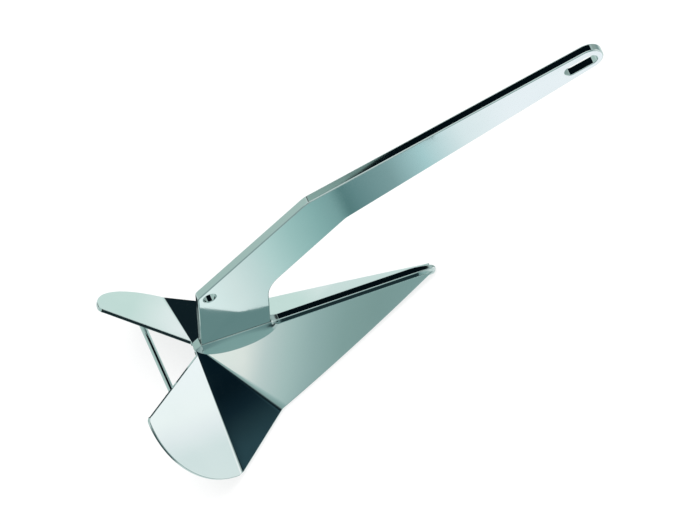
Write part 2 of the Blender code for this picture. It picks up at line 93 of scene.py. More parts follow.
# %% [markdown]
# Flat outlines are chains of straight runs and round corners. A corner of radius r is the arc
# that touches both runs; its centre lies on the line that halves the corner.

# %% Outline helpers
def arc(centre, radius, start, stop, count):
    """Points centre + radius * (cos a, sin a) for a from start to stop."""
    a = np.linspace(start, stop, count)
    return np.asarray(centre) + radius * np.column_stack([np.cos(a), np.sin(a)])


def corner_arc(before, corner, after, radius, count):
    """The arc of that radius which touches the two runs that meet at the corner."""
    back = (before - corner) / np.linalg.norm(before - corner)
    on = (after - corner) / np.linalg.norm(after - corner)
    half = math.acos(np.clip(back @ on, -1, 1)) / 2
    middle = (back + on) / np.linalg.norm(back + on)
    centre = corner + middle * radius / math.sin(half)
    first = corner + back * radius / math.tan(half) - centre
    last = corner + on * radius / math.tan(half) - centre
    start = math.atan2(first[1], first[0])
    sweep = (math.atan2(last[1], last[0]) - start + math.pi) % (2 * math.pi) - math.pi
    return arc(centre, radius, start, start + sweep, count)


def touch_angle(point, centre, radius, side):
    """Direction from a circle's centre to where a line from the point touches it."""
    reach = point - centre
    return math.atan2(reach[1], reach[0]) + side * math.acos(radius / np.linalg.norm(reach))


def outline_normals(points):
    """Unit normals on the right-hand side of a closed outline, averaged over its two runs."""
    run = np.roll(points, -1, axis=0) - points
    run /= np.linalg.norm(run, axis=1)[:, None]
    side = np.column_stack([run[:, 1], -run[:, 0]])
    both = side + np.roll(side, 1, axis=0)
    return both / np.linalg.norm(both, axis=1)[:, None]


# %% Shank outline
def shank_outline():
    """Foot, back, knee, round ring end, under knee and throat, listed anticlockwise."""
    foot_back, foot_front = np.array([0, GAP]), np.array([FOOT_LENGTH, GAP])
    heel, throat = np.array([0, BACK_HEIGHT]), np.array([FOOT_LENGTH, THROAT_HEIGHT])
    upper = touch_angle(KNEE_TOP, RING_CENTRE, RING_RADIUS, -1)
    lower = touch_angle(KNEE_UNDER, RING_CENTRE, RING_RADIUS, 1)
    sweep = (upper - lower) % (2 * math.pi)
    ring = arc(RING_CENTRE, RING_RADIUS, upper, upper - sweep, 72)
    runs = [
        [foot_back],
        corner_arc(foot_back, heel, KNEE_TOP, 0.009, 16),
        corner_arc(heel, KNEE_TOP, ring[0], 0.045, 20),
        ring,
        corner_arc(ring[-1], KNEE_UNDER, throat, 0.028, 20),
        corner_arc(KNEE_UNDER, throat, foot_front, 0.060, 32),
        [foot_front],
    ]
    return np.vstack(runs)[::-1]


outer = shank_outline()
print("shank outline points:", len(outer))

# %% Standing the anchor up
def stand(points):
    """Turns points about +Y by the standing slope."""
    x, y, z = np.moveaxis(np.asarray(points, float), -1, 0)
    c, s = math.cos(STAND_SLOPE), math.sin(STAND_SLOPE)
    return np.stack([x * c + z * s, y, z * c - x * s], axis=-1)


flat = stand(np.column_stack([outer[:, 0], np.zeros(len(outer)), outer[:, 1]]))
low, high = (np.array(v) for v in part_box("shank"))
PLACE = np.array([(low[0] + high[0] - flat[:, 0].min() - flat[:, 0].max()) / 2, 0.0,
                  (low[2] + high[2] - flat[:, 2].min() - flat[:, 2].max()) / 2])
print("anchor frame sits at", PLACE.round(5))

# %% [markdown]
# The camera looks down on the starboard side from a long way off, through a long lens, and is
# rolled so that the ridge climbs gently across the picture. Its three directions are written in
# the anchor's own frame and then stood up with it.

# %% Camera
CAMERA_RIGHT = np.array([0.9347, -0.3538, -0.0350])
CAMERA_UP = np.array([0.3170, 0.7847, 0.5327])
CAMERA_DISTANCE = 40.0
CAMERA_LENS = 30.8 * CAMERA_DISTANCE
AIM_RIGHT, AIM_UP = 0.2505, 0.1342

right = CAMERA_RIGHT / np.linalg.norm(CAMERA_RIGHT)
toward = np.cross(right, CAMERA_UP)
toward /= np.linalg.norm(toward)
up = np.cross(toward, right)
axes = stand(np.array([right, up, toward]))
aim = PLACE + AIM_RIGHT * axes[0] + AIM_UP * axes[1]
camera_data = bpy.data.cameras.new("camera")
camera_data.lens = CAMERA_LENS
camera_data.sensor_width = 36.0
camera_data.clip_end = 200.0
camera = bpy.data.objects.new("camera", camera_data)
bpy.context.scene.collection.objects.link(camera)
seat = np.eye(4)
seat[:3, :3] = axes.T
seat[:3, 3] = aim + CAMERA_DISTANCE * axes[2]
camera.matrix_world = Matrix(seat.tolist())
bpy.context.scene.camera = camera
print("camera at", seat[:3, 3].round(3))

# %% [markdown]
# Polished stainless is a mirror with a faint cold tint. It is never perfect: buffing leaves
# hair-fine lines, and the roughness drifts from place to place. Both come from noise read in
# object coordinates, so they stay fixed to the metal.

# %% Steel finishes
def noise(nodes, links, coords, scale, stretch=(1, 1, 1), detail=3.0):
    """A noise pattern, drawn out along an axis by the stretch."""
    place = nodes.new("ShaderNodeMapping")
    place.inputs["Scale"].default_value = stretch
    pattern = nodes.new("ShaderNodeTexNoise")
    pattern.inputs["Scale"].default_value = scale
    pattern.inputs["Detail"].default_value = detail
    links.new(coords, place.inputs["Vector"])
    links.new(place.outputs["Vector"], pattern.inputs["Vector"])
    return pattern.outputs["Fac"]


def spread(nodes, links, value, low, high, start=0.3, stop=0.7):
    """Stretches a pattern's middle range to run from low to high."""
    step = nodes.new("ShaderNodeMapRange")
    step.inputs["From Min"].default_value = start
    step.inputs["From Max"].default_value = stop
    step.inputs["To Min"].default_value = low
    step.inputs["To Max"].default_value = high
    links.new(value, step.inputs["Value"])
    return step.outputs["Result"]


def steel(name, light, dark, rough, lines, line_height, wave_height, metallic=1.0):
    """A metal whose tint, roughness and surface all vary a little over the piece."""
    made = bpy.data.materials.new(name)
    made.use_nodes = True
    nodes, links = made.node_tree.nodes, made.node_tree.links
    shader = nodes["Principled BSDF"]
    shader.inputs["Metallic"].default_value = metallic
    coords = nodes.new("ShaderNodeTexCoord").outputs["Object"]
    cloud = noise(nodes, links, coords, 9.0)
    tint = nodes.new("ShaderNodeMix")
    tint.data_type = "RGBA"
    tint.inputs["A"].default_value = (*dark, 1)
    tint.inputs["B"].default_value = (*light, 1)
    links.new(spread(nodes, links, cloud, 0.0, 1.0), tint.inputs["Factor"])
    links.new(tint.outputs["Result"], shader.inputs["Base Color"])
    drift = noise(nodes, links, coords, 22.0, detail=5.0)
    links.new(spread(nodes, links, drift, *rough), shader.inputs["Roughness"])
    fine = nodes.new("ShaderNodeBump")
    fine.inputs["Strength"].default_value = 1.0
    fine.inputs["Distance"].default_value = line_height
    links.new(noise(nodes, links, coords, *lines), fine.inputs["Height"])
    wave = nodes.new("ShaderNodeBump")
    wave.inputs["Strength"].default_value = 1.0
    wave.inputs["Distance"].default_value = wave_height
    links.new(noise(nodes, links, coords, 4.0, detail=0.0), wave.inputs["Height"])
    links.new(fine.outputs["Normal"], wave.inputs["Normal"])
    links.new(wave.outputs["Normal"], shader.inputs["Normal"])
    return made


MIRROR = steel("mirror_stainless", (0.81, 0.88, 0.87), (0.78, 0.86, 0.85), (0.035, 0.075),
               (90.0, (1, 8, 8)), 4e-6, 3.0e-4)
WELD = steel("dressed_weld", (0.76, 0.84, 0.83), (0.70, 0.79, 0.78), (0.09, 0.17),
             (160.0, (3, 1, 1)), 2e-5, 3.0e-4)
BEAD = steel("raw_weld_bead", (0.62, 0.66, 0.65), (0.47, 0.50, 0.48), (0.22, 0.38),
             (260.0, (1, 1, 1)), 4e-5, 3.0e-4)
SATIN = steel("satin_stainless", (0.66, 0.70, 0.69), (0.58, 0.62, 0.61), (0.26, 0.36),
              (120.0, (1, 14, 14)), 2e-5, 2.0e-4)
CASTING = steel("ballast_casting", (0.16, 0.16, 0.17), (0.08, 0.08, 0.085), (0.6, 0.8),
                (300.0, (1, 1, 1)), 3e-4, 4.0e-4, metallic=0.5)
print("finishes:", [m.name for m in (MIRROR, WELD, BEAD, SATIN, CASTING)])

# %% [markdown]
# One function turns computed points into a finished piece: it stands them up, checks that the
# faces point outwards, gives the mesh its exact normals where they are known, and ties the piece
# to the frame.

# %% Making a piece
def piece(name, points, faces, finish, nodes, normals=None):
    """A mesh in the row frame from points in the anchor's frame, its faces facing out."""
    points = np.asarray(points, float)
    fans = [(f[0], f[i], f[i + 1]) for f in faces for i in range(1, len(f) - 1)]
    a, b, c = (points[[f[i] for f in fans]] for i in (0, 1, 2))
    volume = np.einsum("ij,ij->i", a, np.cross(b, c)).sum() / 6
    if volume < 0:
        faces = [tuple(reversed(f)) for f in faces]
    mesh = bpy.data.meshes.new(name)
    mesh.from_pydata((stand(points) + PLACE).tolist(), [], faces)
    mesh.shade_smooth()
    if normals is None:
        mesh.set_sharp_from_angle(angle=math.radians(38))
    else:
        mesh.normals_split_custom_set_from_vertices(stand(normals).tolist())
    mesh.materials.append(finish)
    made = bpy.data.objects.new(name, mesh)
    bpy.context.scene.collection.objects.link(made)
    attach(made, "root")
    if nodes:
        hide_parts(*nodes)
    print(f"{name}: {len(points)} points, {abs(volume) * 1e6:.1f} cm3")
    return made


def skin(rows, count, closed=False, first=0):
    """Quads between neighbouring rows of count points each, with end faces unless closed."""
    i, j = np.meshgrid(np.arange(rows if closed else rows - 1), np.arange(count), indexing="ij")
    nxt, side = (i + 1) % rows, (j + 1) % count
    quads = np.stack([i * count + j, i * count + side, nxt * count + side, nxt * count + j], -1)
    faces = [tuple(q) for q in (quads.reshape(-1, 4) + first).tolist()]
    if not closed:
        faces.append(tuple(range(first + count - 1, first - 1, -1)))
        faces.append(tuple(range(first + (rows - 1) * count, first + rows * count)))
    return faces


# %% [markdown]
# The shank is one thick plate. Its two faces are dead flat and its edges are rolled to a small
# radius by the buffing wheel. For every outline, the slot and the eye included, the edge is a
# set of rings: inset by the radius, then pushed out by r sin(a) and down by r (1 - cos a). The
# normal there is the mix cos(a) of the face and sin(a) of the side, which is what keeps the
# flat faces flat in the reflection.

# %% Shank
EDGE = 2.2 * MM
HOLE_EDGE = 1.2 * MM


def rolled_rings(outline, half, radius, steps=7):
    """Rings of an outline's rolled edge from the port face to the starboard face."""
    out = outline_normals(outline)
    a = np.linspace(0, math.pi / 2, steps)[:, None, None]
    flat_points = outline - out * radius
    shift = flat_points[None] + out[None] * radius * np.sin(a)
    y = half - radius + radius * np.cos(a) * np.ones((1, len(outline), 1))
    port = np.concatenate([shift[..., :1], y, shift[..., 1:]], axis=-1)
    turn = np.concatenate([out[None, :, :1] * np.sin(a), np.cos(a) * np.ones_like(y),
                           out[None, :, 1:] * np.sin(a)], axis=-1)
    flip = np.array([1, -1, 1])
    return np.concatenate([port, port[::-1] * flip]), np.concatenate([turn, turn[::-1] * flip])


def slot_outline():
    """Two half circles joined by straight runs, listed clockwise."""
    along = np.array([math.cos(SLOT_ANGLE), math.sin(SLOT_ANGLE)])
    reach = (SLOT_LENGTH - SLOT_WIDTH) / 2
    quarter = math.pi / 2
    outer_end = arc(SLOT_CENTRE + along * reach, SLOT_WIDTH / 2, SLOT_ANGLE - quarter,
                    SLOT_ANGLE + quarter, 40)
    inner_end = arc(SLOT_CENTRE - along * reach, SLOT_WIDTH / 2, SLOT_ANGLE + quarter,
                    SLOT_ANGLE + 3 * quarter, 40)
    return np.vstack([outer_end, inner_end])[::-1]


def make_shank():
    """Rolled edges of the outline, slot and eye, with both flat faces filled by triangles."""
    eye = arc(EYE_CENTRE, EYE_RADIUS, 0, 2 * math.pi, 65)[:-1][::-1]
    points, normals, faces, port_loops, back_loops = [], [], [], [], []
    total = 0
    for outline, radius in ((outer, EDGE), (slot_outline(), HOLE_EDGE), (eye, HOLE_EDGE)):
        rings, turns = rolled_rings(outline, SHANK_HALF, radius)
        rows, count = rings.shape[:2]
        faces += skin(rows, count, first=total)[:-2]
        port_loops.append((total, count))
        back_loops.append((total + (rows - 1) * count, count))
        points.append(rings.reshape(-1, 3))
        normals.append(turns.reshape(-1, 3))
        total += rows * count
    points, normals = np.vstack(points), np.vstack(normals)
    for loops, mirrored in ((port_loops, False), (back_loops, True)):
        lookup = np.concatenate([np.arange(start, start + count) for start, count in loops])
        fills = tessellate_polygon([[Vector(points[i]) for i in range(start, start + count)]
                                    for start, count in loops])
        for tri in fills:
            a, b, c = (int(lookup[i]) for i in tri)
            facing = np.cross(points[b] - points[a], points[c] - points[a])[1]
            wanted = -1 if mirrored else 1
            faces.append((a, b, c) if facing * wanted > 0 else (c, b, a))
    return points, normals, faces


shank_points, shank_normals, shank_faces = make_shank()
piece("shank_plate", shank_points, shank_faces, MIRROR, ["shank"], shank_normals)

# %% [markdown]
# Each wing starts as a flat plate. Both folds run through one point, the apex at the heel, so a
# folded wing is a fan of straight rulings: the point at distance r along the ruling of flat
# angle f is apex + r d(f). The direction d sweeps in a plane across each facet; averaging d over
# a few degrees rounds the folds off, and the plate's lower face is the same fan moved by the
# thickness along the normal d x d'.

# %% Wing fan
def unit(v):
    """The vector divided by its own length."""
    return v / np.linalg.norm(v)


RIDGE_WAY = np.array([1.0, 0.0, 0.0])
FOLD_1, FOLD_2 = unit(LOWER_CORNER - APEX), unit(REAR_CORNER - APEX)
EAR_ROOT = APEX + (REAR_CORNER - APEX) * EAR_ROOT_Y / REAR_CORNER[1]
EAR_UP = unit(np.cross(FOLD_2, EAR_BACK - EAR_ROOT))
ACROSS_0 = unit(FOLD_1 - (FOLD_1 @ RIDGE_WAY) * RIDGE_WAY)
ACROSS_1 = unit(FOLD_2 - (FOLD_2 @ FOLD_1) * FOLD_1)
ACROSS_2 = np.cross(EAR_UP, FOLD_2)
ANGLE_1 = math.acos(FOLD_1 @ RIDGE_WAY)
ANGLE_2 = ANGLE_1 + math.acos(FOLD_2 @ FOLD_1)
FOLD_SOFT_1, FOLD_SOFT_2 = math.radians(3.0), math.radians(1.2)


def sharp_way(f):
    """Ruling direction at flat angle f with knife-sharp folds."""
    parts = []
    for start, along, across in ((0.0, RIDGE_WAY, ACROSS_0), (ANGLE_1, FOLD_1, ACROSS_1),
                                 (ANGLE_2, FOLD_2, ACROSS_2)):
        g = (f - start)[..., None]
        parts.append(np.cos(g) * along + np.sin(g) * across)
    first, second = (f < ANGLE_1)[..., None], (f < ANGLE_2)[..., None]
    return np.where(first, parts[0], np.where(second, parts[1], parts[2]))


def soft_way(f):
    """Ruling direction averaged over a small span, which rounds each fold."""
    near_2 = np.clip((f - (ANGLE_1 + ANGLE_2) / 2) / 0.2 + 0.5, 0, 1)
    span = FOLD_SOFT_1 + (FOLD_SOFT_2 - FOLD_SOFT_1) * near_2
    offsets = np.linspace(-1, 1, 25)
    mean = sharp_way(f[:, None] + span[:, None] * offsets[None]).mean(axis=1)
    return mean / np.linalg.norm(mean, axis=1)[:, None]


def fan_frame(f):
    """Direction, crosswise direction and upward normal of the rulings."""
    step = 1e-4
    way = soft_way(f)
    cross = soft_way(f + step) - soft_way(f - step)
    cross -= (cross * way).sum(1)[:, None] * way
    cross /= np.linalg.norm(cross, axis=1)[:, None]
    return way, cross, np.cross(way, cross)


print("fold angles", round(math.degrees(ANGLE_1), 1), round(math.degrees(ANGLE_2), 1))

# %% Wing outline in the flat plate
def polar(along, across, start):
    """Flat polar coordinates (angle, distance) of points given along and across a fold."""
    return np.arctan2(across, along) + start, np.hypot(along, across)


def wing_outer():
    """Free edge of the flat plate, nose to ear: bowed leading edge, straight run, round ear."""
    t = np.linspace(0, 1, 60)
    tip = np.array([LEADING_TIP_X, SEAM_Y, -WING_DROP * SEAM_Y])
    out = unit(np.array([0, 1, -WING_DROP]))
    edge = tip + (LOWER_CORNER - tip) * t[:, None] + out * (4 * LEADING_BOW * t * (1 - t))[:, None]
    front = polar((edge - APEX) @ RIDGE_WAY, (edge - APEX) @ ACROSS_0, 0.0)
    side = LOWER_CORNER + (REAR_CORNER - LOWER_CORNER) * np.linspace(0.02, 0.955, 30)[:, None]
    middle = polar((side - APEX) @ FOLD_1, (side - APEX) @ ACROSS_1, ANGLE_1)
    root = np.linalg.norm(EAR_ROOT - APEX)
    radius = np.linalg.norm(REAR_CORNER - EAR_ROOT) - EAR_ARC_OFFSET
    reach = EAR_BACK - EAR_ROOT
    slope = math.atan2(reach @ ACROSS_2, reach @ FOLD_2)
    span = EAR_ARC_OFFSET * math.cos(slope)
    length = span + math.sqrt(span**2 + radius**2 - EAR_ARC_OFFSET**2)
    corner = length * np.array([math.cos(slope), math.sin(slope)])
    stop = math.atan2(corner[1], corner[0] - EAR_ARC_OFFSET) - 0.012 / radius
    round_edge = arc([EAR_ARC_OFFSET, 0], radius, 0.006 / radius, stop, 110)
    bend = corner_arc(round_edge[-1], corner, np.zeros(2), 0.0086, 24)
    ear = np.vstack([round_edge, bend])
    back = polar(ear[:, 0] + root, ear[:, 1], ANGLE_2)
    angles = np.concatenate([front[0], middle[0], back[0]])
    return angles, np.concatenate([front[1], middle[1], back[1]]), slope, root


OUT_ANGLE, OUT_REACH, EAR_SLOPE, EAR_START = wing_outer()


def wing_inner(f):
    """Distance at which each ruling leaves the seam beside the ridge, or the ear's rear edge."""
    seam = SEAM_Y / np.maximum(soft_way(f)[:, 1], 1e-3)
    g = f - ANGLE_2
    rear = EAR_START / np.maximum(np.cos(g) - np.sin(g) / math.tan(EAR_SLOPE), 1e-3)
    return np.where(g > 0, np.maximum(rear, EAR_START), seam)


print("wing edge points:", len(OUT_ANGLE))

# %% Wings
WING_EDGE, SEAM_EDGE, HIDDEN_EDGE = 1.3 * MM, 0.7 * MM, 0.15 * MM
LEAST_PART = 0.25


def wing_columns():
    """Flat angles of the rulings: every edge point, and close together at the folds."""
    peak = OUT_ANGLE.max() - 1e-4
    folds = [np.linspace(a - 0.04, a + 0.04, 41) for a in (ANGLE_1, ANGLE_2)]
    even = np.linspace(OUT_ANGLE[0] + 1e-4, peak, 160)
    every = np.unique(np.round(np.concatenate([OUT_ANGLE, even] + folds), 5))
    return every[(every >= OUT_ANGLE[0]) & (every <= peak)]


def flat_edge_normals(f, reach):
    """Outward direction of an edge r(f), as parts along the ruling and across it."""
    slope = np.gradient(reach, f) / reach
    size = np.sqrt(1 + slope**2)
    return 1 / size, -slope / size


def make_wing(side):
    """Closed loops of points, one round each ruling: top, free edge, underside, seam edge."""
    f = wing_columns()
    order = np.argsort(OUT_ANGLE, kind="stable")
    outside = np.interp(f, OUT_ANGLE[order], OUT_REACH[order])
    inside = np.minimum(wing_inner(f), outside)
    way, cross, up_way = fan_frame(f)
    r_part, f_part = flat_edge_normals(f, outside)
    r_part = np.maximum(r_part, LEAST_PART)
    size = np.hypot(r_part, f_part)
    out = (way * (r_part / size)[:, None]) + cross * (f_part / size)[:, None]
    roll = WING_EDGE
    outer_flat = np.maximum(outside - roll * size / r_part, inside)
    r_in, f_in = flat_edge_normals(f, inside)
    seam = np.where(f > ANGLE_2, SEAM_EDGE, HIDDEN_EDGE)
    inward = -(way * r_in[:, None] + cross * f_in[:, None])
    small = np.minimum(seam, (outside - inside) * 0.2)[:, None, None]
    inner_flat = np.minimum(inside + small[:, 0, 0] / r_in, (inside + outer_flat) / 2)
    share = np.linspace(0, 1, 9)
    reach = inner_flat[:, None] + (outer_flat - inner_flat)[:, None] * share[None]
    top = APEX + reach[..., None] * way[:, None]
    under = top - PLATE * up_way[:, None]
    a = np.linspace(0, math.pi / 2, 6)[None, 1:, None]
    edge_top = top[:, -1:] + out[:, None] * roll * np.sin(a) - up_way[:, None] * roll * (1 - np.cos(a))
    turn_top = out[:, None] * np.sin(a) + up_way[:, None] * np.cos(a)
    edge_low = under[:, -1:] + out[:, None] * roll * np.sin(a) + up_way[:, None] * roll * (1 - np.cos(a))
    turn_low = out[:, None] * np.sin(a) - up_way[:, None] * np.cos(a)
    seam_low = under[:, :1] + inward[:, None] * small * np.sin(a) + up_way[:, None] * small * (1 - np.cos(a))
    seam_top = top[:, :1] + inward[:, None] * small * np.sin(a) - up_way[:, None] * small * (1 - np.cos(a))
    turn_seam = inward[:, None] * np.sin(a)
    flat_turn = up_way[:, None] * np.cos(a)
    faces_up = np.repeat(up_way[:, None], len(share), axis=1)
    loops = np.concatenate([top, edge_top, edge_low[:, ::-1], under[:, ::-1],
                            seam_low, seam_top[:, ::-1]], axis=1)
    turns = np.concatenate([faces_up, turn_top, turn_low[:, ::-1], -faces_up, turn_seam - flat_turn,
                            (turn_seam + flat_turn)[:, ::-1]], axis=1)
    flip = np.array([1, side, 1])
    return (loops * flip).reshape(-1, 3), (turns * flip).reshape(-1, 3), skin(*loops.shape[:2])


for wing_name, wing_side in (("port", 1), ("starboard", -1)):
    pts, nrm, fcs = make_wing(wing_side)
    piece(f"wing_plate_{wing_name}", pts, fcs, MIRROR, [f"fluke_wing_{wing_name}"], nrm)

# %% [markdown]
# The ridge bar is a solid section carried along the ridge. Its corners are short quadratic
# curves: for a corner c with neighbours a and b pulled in to the rounding distance, the point is
# (1-t)^2 a + 2t(1-t) c + t^2 b. At the nose the section drops, narrows and closes as a blunt
# round end.

# %% Ridge bar
def outward(grid, normals):
    """Unit normals, turned so that they point away from the middle of each loop."""
    normals = normals / np.maximum(np.linalg.norm(normals, axis=2, keepdims=True), 1e-12)
    side = (normals * (grid - grid.mean(axis=1, keepdims=True))).sum()
    return normals * np.sign(side)


def grid_normals(grid, ring):
    """Normals of a skin of closed loops from its two sets of neighbours."""
    on, back = np.roll(grid, -1, axis=0), np.roll(grid, 1, axis=0)
    along = on - back if ring else np.gradient(grid, axis=0)
    around = np.roll(grid, -1, axis=1) - np.roll(grid, 1, axis=1)
    return outward(grid, np.cross(around, along))


def swept(x, corners, radius, steps=6):
    """Polygons carried along x with every corner rounded, as points and exact normals."""
    before, after = np.roll(corners, 1, axis=1) - corners, np.roll(corners, -1, axis=1) - corners
    size_b = np.linalg.norm(before, axis=2, keepdims=True)
    size_a = np.linalg.norm(after, axis=2, keepdims=True)
    a = corners + before / size_b * np.minimum(radius, size_b * 0.45)
    b = corners + after / size_a * np.minimum(radius, size_a * 0.45)
    a, b, c = a[:, :, None], b[:, :, None], corners[:, :, None]
    t = np.linspace(0, 1, steps)[None, None, :, None]
    loops = ((1 - t) ** 2 * a + 2 * t * (1 - t) * c + t**2 * b).reshape(len(x), -1, 2)
    turns = ((1 - t) * (c - a) + t * (b - c)).reshape(len(x), -1, 2)
    xs = np.repeat(x[:, None, None], loops.shape[1], axis=1)
    grid = np.concatenate([xs, loops], axis=2)
    around = np.concatenate([np.zeros_like(xs), turns], axis=2)
    return grid, outward(grid, np.cross(around, np.gradient(grid, axis=0)))


def bar_corners(x):
    """Six corners of the bar's section at each x."""
    along = np.clip((x - (RIDGE_LENGTH - NOSE_LENGTH)) / NOSE_LENGTH, 0, 1) ** 2
    top = BAR_TOP_HALF + (NOSE_TOP_HALF - BAR_TOP_HALF) * along
    side = BAR_HALF + (NOSE_HALF - BAR_HALF) * along
    drop = NOSE_DROP * along
    shoulder = WING_DROP * BAR_HALF + drop * 0.6
    depth = BAR_DEPTH + (NOSE_DEPTH - BAR_DEPTH) * np.minimum(1, along * 2)
    half = [(top, -drop), (side, -shoulder), (side, -depth)]
    ring = half + [(-y, z) for y, z in reversed(half)]
    return np.stack([np.stack(pair, -1) for pair in ring], axis=1)


def make_bar():
    """The bar's sections along the ridge, shrunk by cos(turn) over the last millimetres."""
    end = 7.0 * MM
    long_run = np.concatenate([np.linspace(0.0, 0.36, 25), np.linspace(0.365, RIDGE_LENGTH - end, 28)])
    turn = np.linspace(0, math.pi / 2 * 0.94, 13)[1:]
    x = np.concatenate([long_run, RIDGE_LENGTH - end + end * np.sin(turn)])
    shrink = np.concatenate([np.ones(len(long_run)), np.cos(turn)])[:, None, None]
    corners = bar_corners(x)
    top = corners[..., 1].max(axis=1)
    middle = np.stack([np.zeros(len(x)), top - 0.30 * (top - corners[..., 1].min(axis=1))], -1)[:, None]
    return swept(x, middle + (corners - middle) * shrink, 1.1 * MM)


bar, bar_turn = make_bar()
piece("ridge_spine", bar.reshape(-1, 3), skin(*bar.shape[:2]), MIRROR, ["ridge_bar"],
      bar_turn.reshape(-1, 3))

# %% [markdown]
# The shank is joined to the ridge by a heavy fillet that is ground and buffed into one smooth
# band, boat-shaped in plan. Each point of its outer rim is paired with the nearest point of the
# shank's foot, and a shallow hollow curve joins the two.

# %% Weld round the foot
RIM_BACK, RIM_FRONT, RIM_HALF, RIM_RISE = -0.0125, 0.139, 0.0222, 0.0045


def deck_height(x, y):
    """Height of the metal under the weld: ridge top, bar flank, front or middle facet."""
    y = np.abs(y)
    across = np.cross(LOWER_CORNER - APEX, REAR_CORNER - APEX)
    middle = -(across[0] * (x - APEX[0]) + across[1] * np.maximum(y, SEAM_Y)) / across[2]
    wing = np.maximum(-WING_DROP * np.maximum(y, SEAM_Y), middle)
    flank = -WING_DROP * BAR_HALF * np.clip((y - BAR_TOP_HALF) / (BAR_HALF - BAR_TOP_HALF), 0, 1)
    ahead = np.clip((x - 0.118) / 0.008, 0, 1)
    return wing + (np.where(y < SEAM_Y, flank, wing) - wing) * ahead


def make_foot_band():
    """Sections round the foot: hollow face, thin toe and hidden underside."""
    t = np.linspace(0, 2 * math.pi, 241)[:-1]
    middle, reach = (RIM_BACK + RIM_FRONT) / 2, (RIM_FRONT - RIM_BACK) / 2
    x = middle + reach * np.sign(np.cos(t)) * np.abs(np.cos(t)) ** 0.92
    share = np.abs(x - middle) / reach
    y = RIM_HALF * np.sign(np.sin(t)) * np.abs(np.sin(t)) ** 0.62
    y *= np.where(x > middle, 1 - 0.12 * share**2, 1 - 0.10 * share**2)
    toe = np.column_stack([x, y, deck_height(x, y) + 0.15 * MM])
    foot = np.column_stack([np.clip(x, -GAP, FOOT_LENGTH + GAP),
                            np.clip(y, -SHANK_HALF - GAP, SHANK_HALF + GAP),
                            np.full(len(t), RIM_RISE)])
    s = np.linspace(0, 1, 14)[None, :, None]
    face = foot[:, None] + (toe - foot)[:, None] * s
    depth = np.where(x < 0, -0.2, 1.0)[:, None] * 2.4 * MM
    hollow = depth * np.sin(math.pi * s[..., 0]) * (1 - 0.25 * s[..., 0])
    face[..., 2] -= hollow * np.clip((RIM_RISE - toe[:, 2:]) / 0.02, 0.15, 1)
    low_toe = toe - np.array([0, 0, 0.1 * MM])
    low_foot = foot.copy()
    low_foot[:, 2] = np.maximum(deck_height(foot[:, 0], foot[:, 1]), -0.008) + 0.15 * MM
    return np.concatenate([face, low_toe[:, None], low_foot[:, None]], axis=1)


band = make_foot_band()
piece("shank_foot_band", band.reshape(-1, 3), skin(*band.shape[:2], closed=True), WELD,
      ["shank_weld_port", "shank_weld_starboard", "shank_weld_front"],
      grid_normals(band, True).reshape(-1, 3))

# %% Plug behind the bar
def block(x_range, y_half, z_range, radius, rows=16):
    """A short bar along x with rounded long edges and a domed back."""
    share = np.linspace(0, 1, rows)
    x = x_range[0] + (x_range[1] - x_range[0]) * share
    shrink = np.sqrt(1 - np.clip(0.97 - share * 1.3, 0, 1) ** 2)
    (z0, z1), middle = z_range, np.array([0, z_range[1] * 0.7 + z_range[0] * 0.3])
    corners = np.array([[y_half, z1], [y_half, z0], [-y_half, z0], [-y_half, z1]])
    return swept(x, middle + (corners - middle)[None] * shrink[:, None, None], radius)


PLUG_X, PLUG_TOP, PLUG_ROUND = (-0.0118, -0.0004), -0.0065, 3.0 * MM
plug, plug_turn = block(PLUG_X, BAR_HALF - 0.2 * MM, (-BAR_DEPTH + GAP, PLUG_TOP), PLUG_ROUND)
piece("shank_weld_heel", plug.reshape(-1, 3), skin(*plug.shape[:2]), WELD,
      ["shank_weld_rear"], plug_turn.reshape(-1, 3))

# %% [markdown]
# The tie bar is plain round stock between the two ears. Where it meets the slanting underside of
# an ear it is welded all round, so each collar is a ring of sections: along the bar, then a
# hollow curve out to the plate.

# %% Tie bar and its collars
TIE_RADIUS, TIE_X, TIE_Z, COLLAR = 0.0055, -0.0734, -0.020, 0.0048


def under_ear(x, z):
    """Distance out along y at which a line at (x, z) meets the port ear's underside."""
    point = EAR_ROOT - EAR_UP * (PLATE + GAP)
    return point[1] - (EAR_UP[0] * (x - point[0]) + EAR_UP[2] * (z - point[2])) / EAR_UP[1]


def make_tie_bar():
    """Lines parallel to y at one radius from the bar's axis, each cut off at both ears."""
    a = np.linspace(0, 2 * math.pi, 65)[:-1]
    x, z = TIE_X + TIE_RADIUS * np.cos(a), TIE_Z + TIE_RADIUS * np.sin(a)
    end = under_ear(x, z)
    s = np.linspace(-1, 1, 9)[:, None]
    return np.stack([np.repeat(x[None], 9, 0), s * end[None], np.repeat(z[None], 9, 0)], -1)


def make_collar(side):
    """Round the bar, a quadratic curve from the bar's surface out to the ear's underside."""
    a = np.linspace(0, 2 * math.pi, 73)[:-1]
    bore = TIE_RADIUS + 0.05 * MM
    ring = np.stack([np.cos(a), np.sin(a)], -1)
    inner = np.array([TIE_X, TIE_Z]) + ring * bore
    wide = np.array([TIE_X, TIE_Z]) + ring * (bore + COLLAR)
    touch = under_ear(inner[:, 0], inner[:, 1])
    plate = under_ear(wide[:, 0], wide[:, 1])
    start = np.column_stack([inner[:, 0], touch - COLLAR * 1.25, inner[:, 1]])
    finish = np.column_stack([wide[:, 0], plate, wide[:, 1]])
    root = np.column_stack([inner[:, 0], touch, inner[:, 1]])
    s = np.linspace(0, 1, 9)[None, :, None]
    control = (root * 0.45 + (start + finish) * 0.275)[:, None]
    bend = start[:, None] * (1 - s) ** 2 + 2 * s * (1 - s) * control + finish[:, None] * s**2
    loops = np.concatenate([bend, root[:, None]], axis=1)
    return loops * np.array([1, side, 1])


